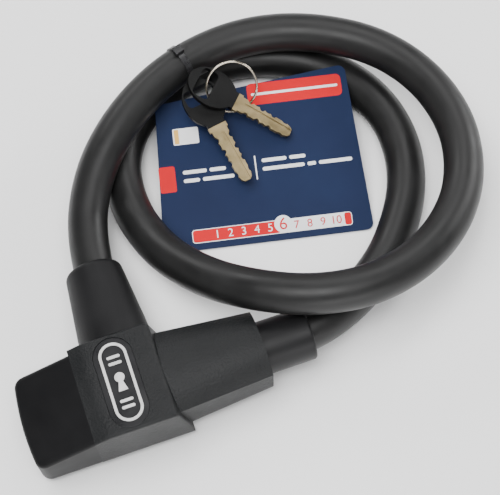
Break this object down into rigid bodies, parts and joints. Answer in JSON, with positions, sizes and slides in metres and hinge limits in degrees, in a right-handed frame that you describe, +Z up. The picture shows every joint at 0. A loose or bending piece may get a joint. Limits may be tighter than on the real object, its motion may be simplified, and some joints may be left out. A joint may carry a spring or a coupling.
{
  "type": "keyed cable lock",
  "caption": "Armoured cable lock: T-shaped plastic head with key cylinder, fixed cable collar and receiver, thick black cable in two turns, plug-in bolt end, two keys on a ring and a card.",
  "frame": {"origin": "on the resting plane, below the crossing of the bolt axis and the fixed cable's axis, on the underside of the head", "axes": "+X along the bolt axis from the keyhole to the receiver mouth, +Y the way the fixed cable leaves the head, +Z up"},
  "size_m": [0.2604, 0.1995, 0.0484],
  "materials": {
    "housing_plastic": "fine grained black",
    "cap_plastic": "smooth satin black",
    "collar_plastic": "satin black",
    "badge_plastic": "gloss black",
    "badge_silver": "silver print, satin",
    "core_steel": "machined steel",
    "pin_steel": "hardened steel",
    "cylinder_brass": "machined brass",
    "card_board": "printed, satin",
    "cable_sheath": "matt black vinyl sheath",
    "seal_rubber": "matt",
    "sleeve_plastic": "satin black",
    "strap_plastic": "matt black nylon",
    "ring_steel": "bright",
    "key_metal": "nickel silver, warm satin",
    "bow_plastic": "black moulded plastic"
  },
  "bodies": {
    "head": {"shell_far": "housing_plastic", "shell_near": "housing_plastic", "end_cap": "cap_plastic", "badge_base": "badge_plastic", "badge_ring": "badge_silver", "badge_emblem": "badge_silver", "cable_collar": "collar_plastic", "lock_core": "core_steel", "mouth_bush": "core_steel", "anchor_pin": "pin_steel", "fixed_crimp": "core_steel", "shell_screws": "pin_steel", "cylinder_body": "cylinder_brass", "driver_pins": "cylinder_brass", "pin_springs": "pin_steel", "pin_cover": "cylinder_brass", "cap_pin": "pin_steel", "shutter_pin": "pin_steel", "hang_card": "card_board", "cable": "cable_sheath"},
    "plug": {"key_plug": "cylinder_brass", "key_pins": "cylinder_brass", "drive_cam": "pin_steel"},
    "latch": {"latch_slide": "core_steel"},
    "shutter": {"keyhole_shutter": "pin_steel"},
    "free_end": {"bolt_pin": "core_steel", "bolt_seal": "seal_rubber", "end_crimp": "core_steel", "end_sleeve": "sleeve_plastic"},
    "key_set": {"key_strap": "strap_plastic"},
    "key_ring": {"split_ring": "ring_steel"},
    "key_1": {"key_1_blade": "key_metal", "key_1_bow": "bow_plastic"},
    "key_2": {"key_2_blade": "key_metal", "key_2_bow": "bow_plastic"}
  },
  "joints": [
    {"name": "plug_turn", "type": "hinge", "parent": "head", "child": "plug", "pos_m": [-0.034, 0, 0.013], "axis": [-1, 0, 0], "range_deg": [0, 90]},
    {"name": "latch_drop", "type": "slide", "parent": "head", "child": "latch", "axis": [0, 0, -1], "range_m": [0, 0.0036]},
    {"name": "shutter_swing", "type": "hinge", "parent": "head", "child": "shutter", "pos_m": [-0.0493, 0, 0.0205], "axis": [1, 0, 0], "range_deg": [0, 75]},
    {"name": "bolt_slide", "type": "slide", "parent": "head", "child": "free_end", "axis": [1, 0, 0], "range_m": [0, 0.04], "deforming": ["cable"]},
    {"name": "key_lift", "type": "hinge", "parent": "head", "child": "key_set", "pos_m": [0.0765, 0.15825, 0.03125], "axis": [-0.9502, -0.3113, 0.0164], "range_deg": [0, 70]},
    {"name": "ring_turn", "type": "hinge", "parent": "key_set", "child": "key_ring", "pos_m": [0.0972, 0.137, 0.0303], "axis": [-0.079, -0.7366, 0.6717], "continuous": true},
    {"name": "key_1_swing", "type": "hinge", "parent": "key_set", "child": "key_1", "pos_m": [0.0972, 0.137, 0.0303], "axis": [-0.079, -0.7366, 0.6717], "range_deg": [-8, 0]},
    {"name": "key_2_swing", "type": "hinge", "parent": "key_set", "child": "key_2", "pos_m": [0.0972, 0.137, 0.0303], "axis": [-0.079, -0.7366, 0.6717], "range_deg": [0, 30]}
  ],
  "couplings": [
    {"joint": "plug_turn", "follows": "latch_drop", "rad_per_m": 436.33}
  ]
}
